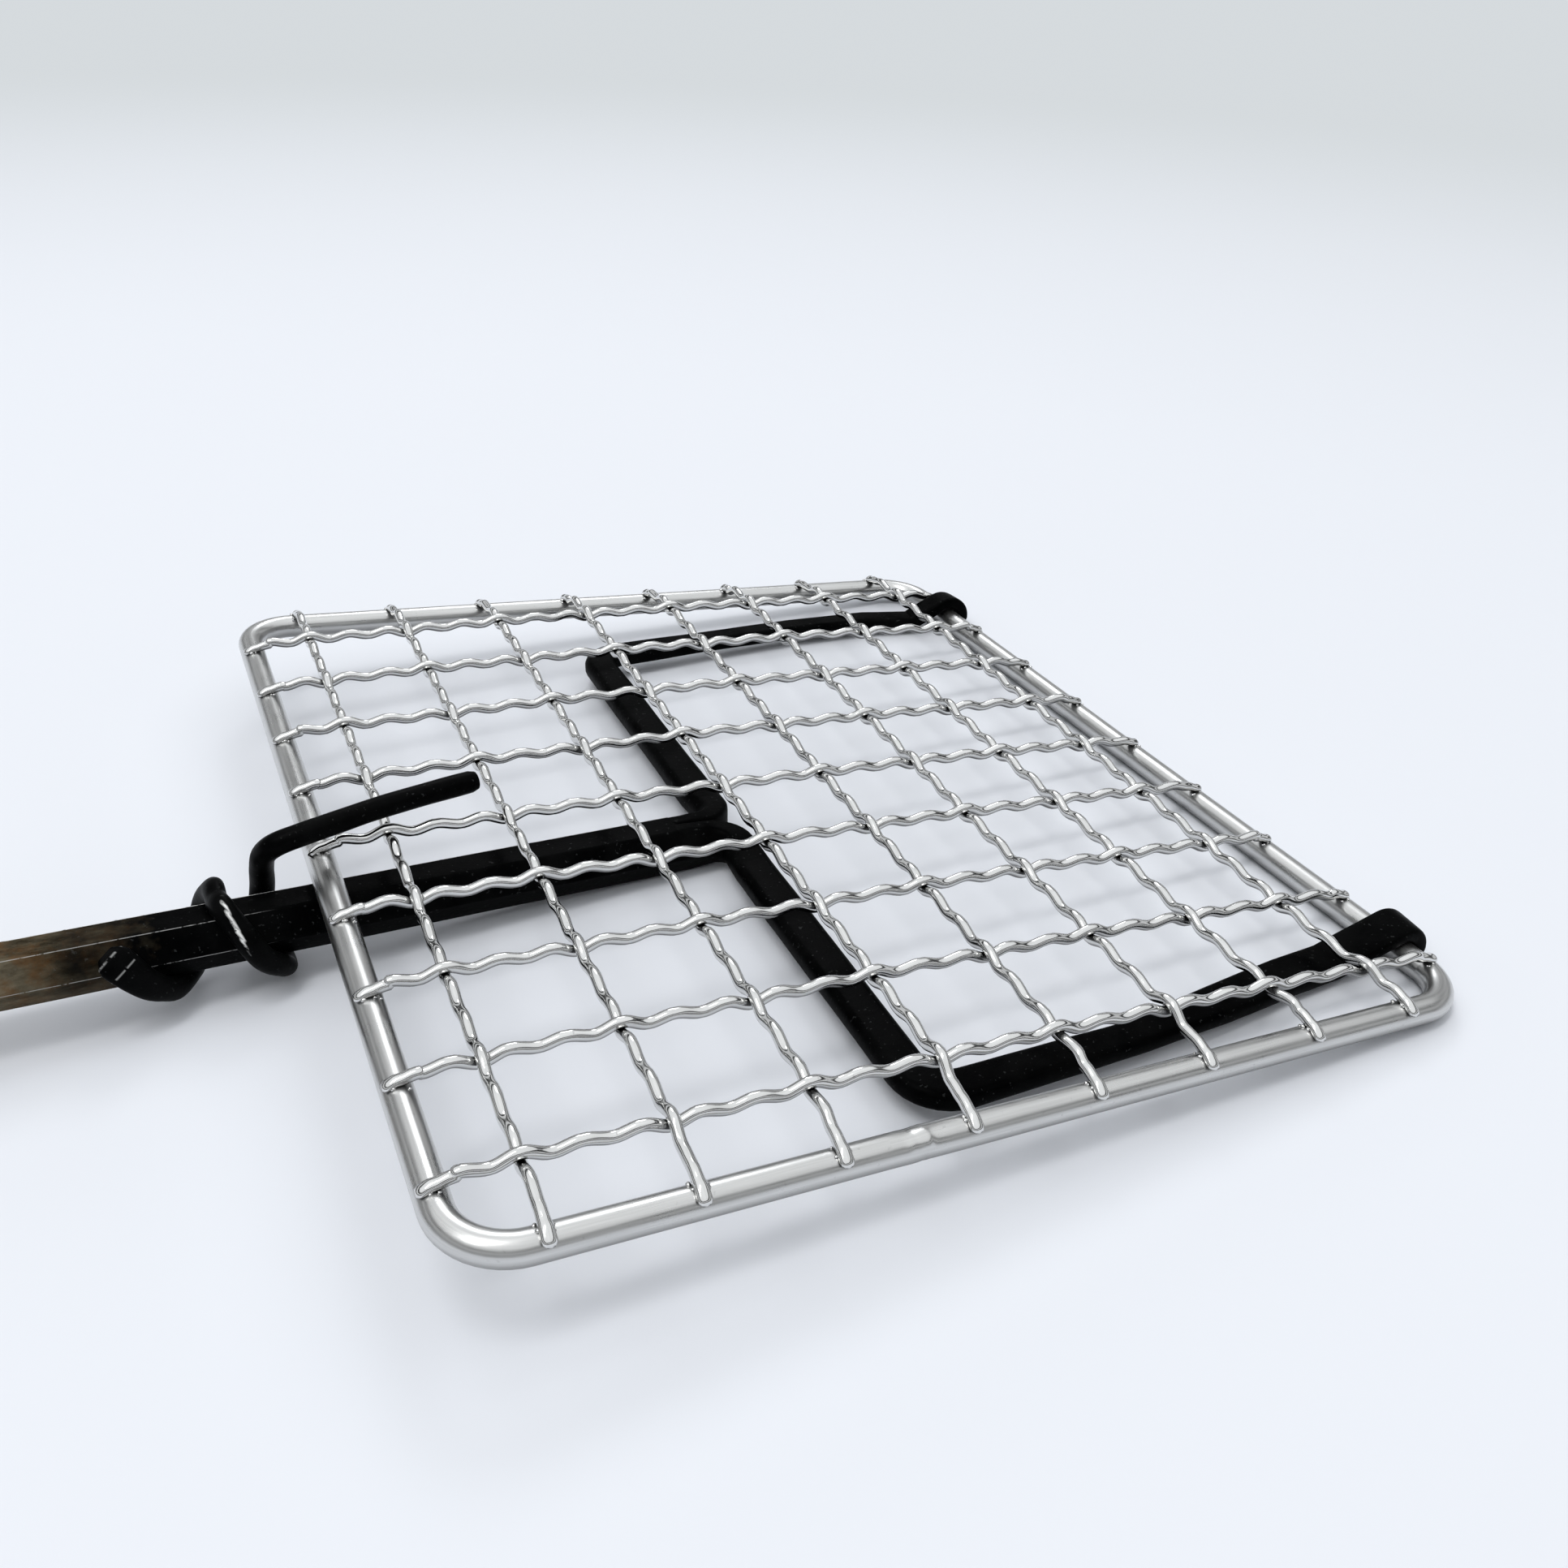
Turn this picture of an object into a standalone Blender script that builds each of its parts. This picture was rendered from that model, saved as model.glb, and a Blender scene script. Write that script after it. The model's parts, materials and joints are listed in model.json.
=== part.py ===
"""Campfire hand grill: a hexagonal bar whose end is split and forged into a two-tine fork,
a crimped-wire grate hooked on the fork's tips, and a sliding keeper wound round the bar.

Everything is laid out in the grate's own frame, in millimetres: x runs from the handle to
the hooks, y to the user's left, z up, with the origin in the middle of the mesh. An empty
then sets the whole grill down as it rests, on the keeper's coil and the grate's far rod.
"""
import math

import bmesh
import bpy
import numpy as np
from mathutils import Matrix, Vector

MM = 0.001

# ---- driving dimensions, in millimetres and degrees -------------------------------------
GAP = 0.3                     # clearance kept between pieces that touch

PITCH = 22.0                  # wire to wire: a 20 mm opening and a 2 mm wire
WIRE_R = 1.0
CROSS_WIRES = 8               # wires across the handle's direction
LONG_WIRES = 9                # wires along the handle's direction
HALF_WAVES = 5                # crimps from one crossing to the next, so crests alternate
CRIMP = 1.2                   # crest of a crimp at a crossing, from the mesh's middle surface
SMALL_CRIMP = 0.55            # crest of the shallower crimps between two crossings
CROWN = 1.9                   # the mesh bows up between the near and the far rod
END_NEAR, END_FAR = 2.4, 0.9  # how far a wire's end reaches past the axis of each rod
END_LEFT, END_RIGHT = 1.4, 2.8
WIRE_DROP = 0.2               # slope at which it comes down round the rod there
WIRE_LEVEL = 3.0              # a wire is level over the rod from this far before its axis
SETTLE = 7.0                  # length in which a cross wire comes down from the crown

ROD_R = 2.6                   # frame rod
NEAR_LEFT = (-89.0, 106.3)    # corners of the rod's axis: the ring isn't quite square
FAR_LEFT = (88.6, 103.5)
FAR_RIGHT = (95.2, -96.7)
NEAR_RIGHT = (-89.0, -99.9)
CORNER_R = 10.0               # bend radius of the rod's axis
WELD_X = -20.5                # butt weld that closes the ring, on the right side
WELD_BULGE = 1.08             # the bead's radius over the rod's

BAR_AF = 10.0                 # hexagonal bar, across flats
BAR_YAW = 3.5                 # the hand-forged bar isn't quite square to the grate
BAR_RISE = 1.0
BAR_Y = -4.6                  # bar axis where it passes under the near rod
BAR_BACK = -311.0             # handle end, along the bar from the near rod
BAR_SPLIT = 69.0              # where the bar is split into the two tines
BAR_CHAMFER = 1.2

ARM_X = -9.3                  # axis of the arms that the split halves make
ARM_Z = -9.7
ARM_ROOT = 12.0               # from the split to where an arm has its full width
LEFT_PRONG_Y = 86.3           # where an arm bends forward into its prong
RIGHT_PRONG_Y = -84.9
ROOT_BEND_R = 4.6
ARM_BEND_R = 7.0
RISE_X = 79.0                 # past the last cross wire the prong turns up
RISE_Z = -4.9                 # and climbs straight over the far rod
HOOK_END = -14.0              # angle round the rod at which the hook's lip ends
LEFT_HOOK_Y = 82.9
RIGHT_HOOK_Y = -79.0
LEFT_HOOK_HALF_W = 3.6
RIGHT_HOOK_HALF_W = 4.0
HOOK_HALF_T = 1.5

KEEPER_R = 2.3
FINGER_R = 2.1
COIL_R = 8.5                  # coil's mean radius round the bar's corners
COIL_HUG = 0.7                # and how much closer it lies to the top and bottom flats
COIL_SAG = 0.1                # the loose coil hangs this much below the bar's axis
TAIL_R = 6.7                  # the flattened tail lies closer to the bar
TAIL_HALF = (3.1, 1.25)       # half width and half thickness of the flattened tail

# ---- dimensions that follow --------------------------------------------------------------
ROD_Z = -(ROD_R + WIRE_R + GAP)
BAR_Z = ROD_Z - ROD_R - GAP - BAR_AF / 2
CROSS_X = [(i - (CROSS_WIRES - 1) / 2) * PITCH for i in range(CROSS_WIRES)]
LONG_Y = [((LONG_WIRES - 1) / 2 - j) * PITCH for j in range(LONG_WIRES)]
NEAR_X = NEAR_LEFT[0]
FAR_X = np.interp(0, [FAR_RIGHT[1], FAR_LEFT[1]], [FAR_RIGHT[0], FAR_LEFT[0]])
MIDDLE_X = (NEAR_X + FAR_X) / 2

# Keeper coil: angle round the bar from +y towards +z, and the place along the bar there.
COIL_STATIONS = [(150, -36.8), (241, -27.0), (285, -23.2), (421, -18.0), (601, -9.2), (706, -10.4)]
# Riser and finger, in the bar's frame: along, left and up from the bar's axis.
FINGER_ROUTE = [(-9.6, 8.3, 3.0), (-9.7, 6.4, 8.0), (-9.4, 4.4, 11.8), (-7.6, 2.4, 14.6),
                (-3.6, 1.9, 16.0), (3.5, 3.1, 16.7), (11.0, 4.8, 17.1), (20.6, 6.5, 17.4),
                (30.3, 8.2, 17.5)]

# Prongs past the arm's bend: x, y, half width. They bow and swell a little, as forged by hand.
LEFT_PRONG = [(20.0, 87.2, 3.1), (45.0, 87.6, 3.3), (67.0, 86.2, 3.4)]
RIGHT_PRONG = [(31.0, -84.2, 3.1), (52.0, -81.9, 3.9), (68.0, -79.9, 4.0)]


# ---- scene helpers -----------------------------------------------------------------------
def clear_scene():
    for obj in list(bpy.data.objects):
        bpy.data.objects.remove(obj, do_unlink=True)


def material(name, color, roughness, metallic):
    mat = bpy.data.materials.new(name)
    mat.use_nodes = True
    shader = mat.node_tree.nodes["Principled BSDF"]
    shader.inputs["Base Color"].default_value = (*color, 1.0)
    shader.inputs["Roughness"].default_value = roughness
    shader.inputs["Metallic"].default_value = metallic
    return mat


def empty(name, parent=None, location=(0, 0, 0), rotation=(0, 0, 0)):
    obj = bpy.data.objects.new(name, None)
    bpy.context.collection.objects.link(obj)
    obj.parent = parent
    obj.location = Vector(location) * MM
    obj.rotation_euler = rotation
    return obj


def add(name, data, mat, parent):
    obj = bpy.data.objects.new(name, data)
    bpy.context.collection.objects.link(obj)
    data.materials.append(mat)
    obj.parent = parent
    return obj


# ---- shape helpers -----------------------------------------------------------------------
def catmull(points, steps):
    """Smooth curve through the points, with the given number of steps in each span."""
    pts = [Vector(p) for p in points]
    pts = [pts[0] * 2 - pts[1]] + pts + [pts[-1] * 2 - pts[-2]]
    curve = []
    for a, b, c, d in zip(pts, pts[1:], pts[2:], pts[3:]):
        for k in range(steps):
            t = k / steps
            curve.append(0.5 * (2 * b + (c - a) * t + (2 * a - 5 * b + 4 * c - d) * t * t
                                + (3 * b - a - 3 * c + d) * t ** 3))
    return curve + [pts[-2]]


def rounded_route(corners, steps=5):
    """Straight runs joined by arcs: corners are (point, bend radius), 0 for a plain vertex.
    Returns the points, and for each corner the index of the point at its middle."""
    points, middles = [corners[0][0]], [0]
    for (a, _), (p, radius), (b, _) in zip(corners, corners[1:], corners[2:]):
        u, v = (a - p).normalized(), (b - p).normalized()
        half = u.angle(v) / 2
        if radius == 0:
            points.append(p)
            middles.append(len(points) - 1)
            continue
        centre = p + (u + v).normalized() * (radius / math.sin(half))
        start = p + u * (radius / math.tan(half)) - centre
        axis = u.cross(v).normalized()
        sweep = -(math.pi - 2 * half)
        for k in range(steps + 1):
            points.append(centre + Matrix.Rotation(sweep * k / steps, 3, axis) @ start)
        middles.append(len(points) - 1 - steps // 2)
    points.append(corners[-1][0])
    middles.append(len(points) - 1)
    return points, middles


def frames_along(points, normal):
    """Tangent, side and normal at each point; the normal is carried along without twist."""
    frames = []
    for k, p in enumerate(points):
        ahead = points[min(k + 1, len(points) - 1)] - p
        behind = p - points[max(k - 1, 0)]
        tangent = (ahead.normalized() + behind.normalized()).normalized()
        normal = (normal - tangent * normal.dot(tangent)).normalized()
        frames.append((tangent, tangent.cross(normal), normal))
    return frames


def loft(name, points, outlines, normal, mat, parent):
    """Closed solid whose cross-section at each point is an outline of (side, normal) pairs."""
    bm = bmesh.new()
    rings = []
    for p, outline, (_, side, up) in zip(points, outlines, frames_along(points, normal)):
        rings.append([bm.verts.new((p + side * s + up * u) * MM) for s, u in outline])
    for ring, following in zip(rings, rings[1:]):
        for k in range(len(ring)):
            n = (k + 1) % len(ring)
            bm.faces.new((ring[k], ring[n], following[n], following[k]))
    bm.faces.new(rings[0])
    bm.faces.new(rings[-1])
    bmesh.ops.recalc_face_normals(bm, faces=bm.faces)
    mesh = bpy.data.meshes.new(name)
    bm.to_mesh(mesh)
    bm.free()
    mesh.shade_smooth()
    mesh.set_sharp_from_angle(angle=math.radians(35))
    return add(name, mesh, mat, parent)


def tube(name, points, radius, mat, parent, resolution=1, cyclic=False, radii=None):
    """Round wire or rod along the points: a curve with a bevel and filled ends."""
    curve = bpy.data.curves.new(name, "CURVE")
    curve.dimensions = "3D"
    curve.bevel_depth = radius * MM
    curve.bevel_resolution = resolution
    curve.use_fill_caps = not cyclic
    spline = curve.splines.new("POLY")
    spline.points.add(len(points) - 1)
    spline.use_cyclic_u = cyclic
    for k, p in enumerate(points):
        spline.points[k].co = (*(Vector(p) * MM), 1.0)
        spline.points[k].radius = radii[k] if radii else 1.0
    spline.use_smooth = True
    return add(name, curve, mat, parent)


# ---- the forged handle -------------------------------------------------------------------
def bar_axis():
    """The bar's frame: x along the bar, with the origin under the near rod."""
    yaw = Matrix.Rotation(math.radians(BAR_YAW), 4, "Z")
    rise = Matrix.Rotation(-math.radians(BAR_RISE), 4, "Y")
    return Matrix.Translation((NEAR_X, BAR_Y, BAR_Z)) @ yaw @ rise


def hexagon(across_flats):
    radius = across_flats / math.sqrt(3)
    return [(radius * math.cos(math.radians(a)), radius * math.sin(math.radians(a)))
            for a in range(0, 360, 60)]


def handle_bar(mat, parent):
    axis = bar_axis()
    stations = [(BAR_BACK, BAR_AF - 2 * BAR_CHAMFER), (BAR_BACK + BAR_CHAMFER, BAR_AF),
                (BAR_SPLIT, BAR_AF)]
    points = [axis @ Vector((s, 0, 0)) for s, _ in stations]
    outlines = [hexagon(size) for _, size in stations]
    up = axis.to_3x3() @ Vector((0, 0, 1))
    return loft("handle_bar", points, outlines, up, mat, parent)


def tine_outline(half_w, half_t, inner, outer_w, outer_t, left):
    """Half-hexagon at the split, drawn out to a bar with broken edges: the corners next to
    the split are cut by inner, and the others by outer_w across and outer_t down."""
    right_side = [(-half_w, -half_t + inner), (-half_w, half_t - inner),
                  (-half_w + inner, half_t), (half_w - outer_w, half_t),
                  (half_w, half_t - outer_t), (half_w, -half_t + outer_t),
                  (half_w - outer_w, -half_t), (-half_w + inner, -half_t)]
    return [(-s, u) for s, u in right_side] if left else right_side


def tine(name, left, mat, parent):
    """Half of the split bar: out along the arm, forward under the mesh, and over the rod."""
    side = 1 if left else -1
    prong = LEFT_PRONG if left else RIGHT_PRONG
    bend_y = LEFT_PRONG_Y if left else RIGHT_PRONG_Y
    hook_y = LEFT_HOOK_Y if left else RIGHT_HOOK_Y
    hook_half_w = LEFT_HOOK_HALF_W if left else RIGHT_HOOK_HALF_W
    root = (BAR_AF / math.sqrt(3) - GAP / 2) / 2          # half width of half the hexagon
    offset = side * (GAP / 2 + root)
    axis = bar_axis()
    start = axis @ Vector((BAR_SPLIT + GAP, offset, 0))
    straight = axis @ Vector((BAR_SPLIT + GAP + 1.5, offset, 0))
    corner = axis @ Vector((BAR_SPLIT + 10, offset, 0))
    corner.x, corner.z = ARM_X, ARM_Z

    hook_r = ROD_R + GAP + HOOK_HALF_T
    rod = Vector((far_x(hook_y), 0, ROD_Z))
    ahead = rod - Vector((RISE_X, 0, RISE_Z))
    slope = math.atan2(ahead.z, ahead.x) + math.asin(hook_r / ahead.length)
    touch = rod + hook_r * Vector((-math.sin(slope), 0, math.cos(slope)))
    drop = (RISE_Z - ARM_Z) / (RISE_X - ARM_X)            # the prong's own gentle climb

    corners = [(start, 0), (straight, 0), (corner, ROOT_BEND_R),
               (Vector((ARM_X, corner.y + side * ARM_ROOT, ARM_Z)), 0),
               (Vector((ARM_X, bend_y, ARM_Z)), ARM_BEND_R)]
    corners += [(Vector((x, y, ARM_Z + (x - ARM_X) * drop)), 0) for x, y, _ in prong]
    rise_y = hook_y + (prong[-1][1] - hook_y) * 0.1
    corners.append((Vector((RISE_X, rise_y, RISE_Z)), 0))
    corners.append((Vector((touch.x, hook_y, touch.z)), 0))
    points, middles = rounded_route(corners)
    for angle in np.linspace(math.pi / 2 + slope, math.radians(HOOK_END), 9)[1:]:
        points.append(Vector((rod.x + hook_r * math.cos(angle), hook_y,
                              rod.z + hook_r * math.sin(angle))))

    # half width, half thickness, and the three corner cuts at each corner of the route
    split = (root, BAR_AF / 2, 0.4, BAR_AF / math.sqrt(12), BAR_AF / 2 - 0.3)
    sizes = [split, split, (root, 3.9, 0.6, 1.6, 2.4)]
    sizes += [(3.9, 2.3, 1.0, 1.0, 1.0), (3.8, 2.15, 1.0, 1.0, 1.0)]
    sizes += [(half_w, 1.85, 0.8, 0.8, 0.8) for _, _, half_w in prong]
    sizes += [(prong[-1][2], 1.75, 0.7, 0.7, 0.7), (hook_half_w, HOOK_HALF_T, 0.6, 0.6, 0.6)]
    lengths = np.cumsum([0] + [(b - a).length for a, b in zip(points, points[1:])])
    marks = [lengths[m] for m in middles]
    keyed = np.array([np.interp(lengths, marks, column) for column in zip(*sizes)]).T
    outlines = [tine_outline(*size, left) for size in keyed]
    up = axis.to_3x3() @ Vector((0, 0, 1))
    return loft(name, points, outlines, up, mat, parent)


# ---- the keeper --------------------------------------------------------------------------
def keeper_points():
    """Axis of the keeper in the bar's frame: tail, one and a half turns, riser and finger."""
    angles = np.arange(COIL_STATIONS[0][0], COIL_STATIONS[-1][0] + 1, 14)
    along = catmull([(a, s, 0) for a, s in COIL_STATIONS], 24)
    station = np.interp(angles, [p.x for p in along], [p.y for p in along])
    coil = []
    for angle, s in zip(angles, station):
        closing = min(1.0, (angle - angles[0]) / 110)
        radius = TAIL_R + (COIL_R - TAIL_R) * closing ** 0.35
        sag = COIL_SAG * closing
        turn = math.radians(angle)
        radius -= COIL_HUG * closing * (math.sin(turn) * math.sin(3 * turn)) ** 2
        coil.append(Vector((s, radius * math.cos(turn), radius * math.sin(turn) - sag)))
    finger = catmull([coil[-1]] + FINGER_ROUTE, 3)[1:]
    return coil, finger


def least_gap(points, radius, clear):
    """Smallest space between stretches of the tube that lie over `clear` apart along it."""
    pts = np.array([tuple(p) for p in points])
    run = np.concatenate([[0], np.cumsum(np.linalg.norm(np.diff(pts, axis=0), axis=1))])
    apart = np.linalg.norm(pts[:, None] - pts[None, :], axis=2)
    apart[np.abs(run[:, None] - run[None, :]) < clear] = np.inf
    return apart.min() - 2 * radius


def keeper(mat, parent):
    coil, finger = keeper_points()
    points = coil + finger
    outlines = []
    for k in range(len(points)):
        flat = max(0.0, 1 - k / 5)
        taper = max(0.0, (k - len(coil)) / len(finger))
        radius = KEEPER_R + (FINGER_R - KEEPER_R) * min(1.0, 2 * taper)
        half_w = radius + (TAIL_HALF[0] - radius) * flat
        half_t = radius + (TAIL_HALF[1] - radius) * flat
        outlines.append([(half_w * math.cos(a), half_t * math.sin(a))
                         for a in np.radians(np.arange(0, 360, 36))])
    print("keeper coil, least gap to itself: %.2f mm" % least_gap(points, KEEPER_R, 30))
    radial = Vector((0, coil[0].y, coil[0].z))
    return loft("keeper", points, outlines, radial, mat, parent)


# ---- the grate ---------------------------------------------------------------------------
def far_x(y):
    """Where the far rod's axis passes a given y; left_y and right_y are the same for an x."""
    return float(np.interp(y, [FAR_RIGHT[1], FAR_LEFT[1]], [FAR_RIGHT[0], FAR_LEFT[0]]))


def left_y(x):
    return float(np.interp(x, [NEAR_LEFT[0], FAR_LEFT[0]], [NEAR_LEFT[1], FAR_LEFT[1]]))


def right_y(x):
    return float(np.interp(x, [NEAR_RIGHT[0], FAR_RIGHT[0]], [NEAR_RIGHT[1], FAR_RIGHT[1]]))


def grate_frame(mat, parent):
    """One round rod bent into a rounded rectangle and butt welded on its right side."""
    corners = [Vector((x, y, ROD_Z)) for x, y in (FAR_RIGHT, FAR_LEFT, NEAR_LEFT, NEAR_RIGHT)]
    weld = Vector((WELD_X, right_y(WELD_X), ROD_Z))
    route, _ = rounded_route([(weld, 0)] + [(c, CORNER_R) for c in corners] + [(weld, 0)], 6)
    bead = [-2.2, -1.1, 0.0, 1.1, 2.2]
    points = [Vector((WELD_X + x, right_y(WELD_X + x), ROD_Z)) for x in bead] + route[1:-1]
    swell = [1 + (WELD_BULGE - 1) * (1 - abs(x) / bead[-1]) for x in bead]
    radii = swell + [1.0] * (len(points) - len(bead))
    return tube("grate_frame", points, ROD_R, mat, parent, 4, True, radii)


def crown(x):
    """Height of the mesh's middle surface: a shallow arch from the near to the far rod."""
    return CROWN * max(0.0, 1 - ((x - MIDDLE_X) / (FAR_X - MIDDLE_X)) ** 2)


def crimped(first, last, start, end, reach, sign, height):
    """(place, height) along one wire: crests half a wave apart, level over the rods, with
    an end that reaches past each rod."""
    step = PITCH / HALF_WAVES
    before = int((first - start - WIRE_LEVEL) / step)
    after = int((end - last - WIRE_LEVEL) / step)
    count = round((last - first) / step)
    route = [(start - reach[0], -WIRE_DROP * reach[0]), (start, 0.0), (start + WIRE_LEVEL, 0.0)]
    for k in range(-before, count + after + 1):
        place = first + k * step
        crest = SMALL_CRIMP if k % HALF_WAVES else CRIMP
        route.append((place, height(place) + sign * crest * (-1) ** k))
    route += [(end - WIRE_LEVEL, 0.0), (end, 0.0), (end + reach[1], -WIRE_DROP * reach[1])]
    return route


def wires(mat, parent):
    """Plain weave of crimped wire: at each crossing the upper wire's crest meets the lower
    wire's trough, and neighbouring crossings swap over."""
    for j, y in enumerate(LONG_Y):
        reach = (END_NEAR, END_FAR)
        route = crimped(CROSS_X[0], CROSS_X[-1], NEAR_X, far_x(y), reach, (-1) ** j, crown)
        tube("wire_long_%d" % (j + 1), [(x, y, z) for x, z in route], WIRE_R, mat, parent)
    for i, x in enumerate(CROSS_X):
        right, left = right_y(x), left_y(x)

        def height(y, right=right, left=left, top=crown(x)):
            inside = min(y - right, left - y) - WIRE_LEVEL
            return top * min(1.0, max(0.0, inside / SETTLE))
        reach = (END_RIGHT, END_LEFT)
        route = crimped(LONG_Y[-1], LONG_Y[0], right, left, reach, -(-1) ** i, height)
        tube("wire_cross_%d" % (i + 1), [(x, y, z) for y, z in route], WIRE_R, mat, parent)


# ---- resting place -----------------------------------------------------------------------
def rest_tilt():
    """Nose-down angle at which the coil's second turn and the far rod's right end share one
    floor."""
    coil, _ = keeper_points()
    axis = bar_axis()
    front = coil[len(coil) // 2:]
    low = min((axis @ p for p in front), key=lambda p: p.z)
    dx, dz = FAR_RIGHT[0] - low.x, ROD_Z - low.z
    return math.atan2(dz, dx) - math.asin((ROD_R - KEEPER_R) / math.hypot(dx, dz))


def settle(assembly):
    """Move the assembly so that the middle of its lowest plane is the origin."""
    bpy.context.view_layer.update()
    graph = bpy.context.evaluated_depsgraph_get()
    corners = []
    for obj in bpy.data.objects:
        if obj.type in {"MESH", "CURVE"}:
            mesh = obj.evaluated_get(graph).to_mesh()
            corners += [obj.matrix_world @ v.co for v in mesh.vertices]
    low = Vector([min(c[k] for c in corners) for k in range(3)])
    high = Vector([max(c[k] for c in corners) for k in range(3)])
    assembly.location -= Vector(((low.x + high.x) / 2, (low.y + high.y) / 2, low.z))
    bpy.context.view_layer.update()
    print("overall size, mm:", [round(v / MM, 1) for v in high - low])


def main():
    clear_scene()
    forged = material("forged_black_steel", (0.018, 0.019, 0.019), 0.42, 0.7)
    satin = material("satin_stainless_rod", (0.60, 0.60, 0.58), 0.34, 1.0)
    bright = material("bright_stainless_wire", (0.66, 0.66, 0.64), 0.24, 1.0)

    tilt = rest_tilt()
    assembly = empty("grill", rotation=(0, tilt, 0))
    handle_bar(forged, assembly)
    tine("left_tine", True, forged, assembly)
    tine("right_tine", False, forged, assembly)

    axis = bar_axis()
    slide = empty("keeper_slide", assembly, axis.translation, axis.to_euler())
    keeper(forged, slide)

    hinge = empty("grate_hinge", assembly, (FAR_X, 0, ROD_Z))
    plate = empty("grate", hinge, (-FAR_X, 0, -ROD_Z))
    grate_frame(satin, plate)
    wires(bright, plate)

    settle(assembly)
    print("assembly place, m:", [round(v, 6) for v in assembly.location],
          "nose down, degrees: %.4f" % math.degrees(tilt))
    along = slide.matrix_world.to_3x3() @ Vector((1, 0, 0))
    end = slide.matrix_world @ Vector((BAR_BACK * MM, 0, 0))
    top = slide.matrix_world @ Vector((BAR_BACK * MM / 2, 0, BAR_AF * MM / 2))
    up = slide.matrix_world.to_3x3() @ Vector((0, 0, 1))
    rod = Vector((FAR_LEFT[0] - FAR_RIGHT[0], FAR_LEFT[1] - FAR_RIGHT[1], 0)).normalized()
    rod = hinge.matrix_world.to_3x3() @ rod
    for label, value in (("bar direction", along), ("bar end", end), ("bar top", top),
                         ("bar up", up), ("grate hinge", hinge.matrix_world.translation),
                         ("far rod direction", rod)):
        print(label, [round(v, 6) for v in value])


main()
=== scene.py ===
"""Campfire hand grill, dressed for close views: the forged fork as one piece, the keeper,
the welded frame rod and the crimped wires, on a pale studio floor.

Shapes are laid out in the grate's own frame in millimetres, as in the CAD source: x from the
handle to the hooks, y to the left, z up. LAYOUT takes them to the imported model's frame.
"""
import json
import math

import bmesh
import bpy
import numpy as np
from mathutils import Matrix, Vector, noise

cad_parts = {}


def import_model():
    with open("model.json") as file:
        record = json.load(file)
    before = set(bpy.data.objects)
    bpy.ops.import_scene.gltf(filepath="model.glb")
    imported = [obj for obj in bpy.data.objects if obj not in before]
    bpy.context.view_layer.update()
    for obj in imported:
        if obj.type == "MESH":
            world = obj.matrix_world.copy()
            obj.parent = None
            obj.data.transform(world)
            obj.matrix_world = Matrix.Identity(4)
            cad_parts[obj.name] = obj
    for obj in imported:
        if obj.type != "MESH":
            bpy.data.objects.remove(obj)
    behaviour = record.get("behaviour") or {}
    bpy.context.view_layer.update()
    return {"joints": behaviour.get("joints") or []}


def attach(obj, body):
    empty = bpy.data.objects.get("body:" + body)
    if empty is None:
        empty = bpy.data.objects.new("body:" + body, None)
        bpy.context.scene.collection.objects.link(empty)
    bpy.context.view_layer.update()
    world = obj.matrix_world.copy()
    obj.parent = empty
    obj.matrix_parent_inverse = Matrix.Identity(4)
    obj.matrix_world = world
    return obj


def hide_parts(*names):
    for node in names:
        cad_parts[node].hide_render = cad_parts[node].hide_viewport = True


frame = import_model()

# ---- dimensions shared with the CAD source, millimetres and degrees -----------------------
GAP = 0.3
PITCH = 22.0
WIRE_R = 1.0
CROSS_WIRES = 8
LONG_WIRES = 9
HALF_WAVES = 5
CRIMP = 0.98                  # at a crossing: the wires touch here, the CAD keeps GAP
SMALL_CRIMP = 0.46            # between two crossings
CROWN = 1.9
END_NEAR, END_FAR = 2.4, 0.9  # how far the wires reach past the middle of the frame rod
END_LEFT, END_RIGHT = 1.4, 2.8
END_Z = -0.75                 # the wires' ends, squeezed into the rod
END_DROP = 0.4                # how steeply they point down past it
LEVEL_Z = -0.1                # where they level out, WIRE_LEVEL inside the rod
WIRE_LEVEL = 3.0
SETTLE = 7.0

ROD_R = 2.6
NEAR_LEFT = (-89.0, 106.3)
FAR_LEFT = (88.6, 103.5)
FAR_RIGHT = (95.2, -96.7)
NEAR_RIGHT = (-89.0, -99.9)
CORNER_R = 10.0
WELD_X = -20.5

BAR_AF = 10.0
BAR_YAW = 3.5
BAR_RISE = 1.0
BAR_Y = -4.6
BAR_BACK = -311.0
BAR_SPLIT = 69.0
BAR_CHAMFER = 1.2
BAR_EDGE = 0.42               # how far the hexagon's corners are rounded off

ARM_X = -9.3
ARM_Z = -9.7
ARM_ROOT = 12.0
LEFT_PRONG_Y = 86.3
RIGHT_PRONG_Y = -84.9
ROOT_BEND_R = 4.6
ARM_BEND_R = 7.0
RISE_X = 79.0
RISE_Z = -4.9
HOOK_END = -14.0
LEFT_HOOK_Y = 82.9
RIGHT_HOOK_Y = -79.0
LEFT_HOOK_HALF_W = 3.6
RIGHT_HOOK_HALF_W = 4.0
HOOK_HALF_T = 1.5

KEEPER_R = 2.2
FINGER_R = 2.1
COIL_R = 8.15
COIL_HUG = 0.85               # how far the turns bend in towards the bar's flats
COIL_STEP = 5.0
KNOCKED = (265, 445, 625)     # where the rod was hammered flat, over and under the bar
KNOCKED_IN = 0.45
TAIL_R = 6.7
TAIL_HALF = (3.3, 1.25)
TAIL_FLAT = 13.0

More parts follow.
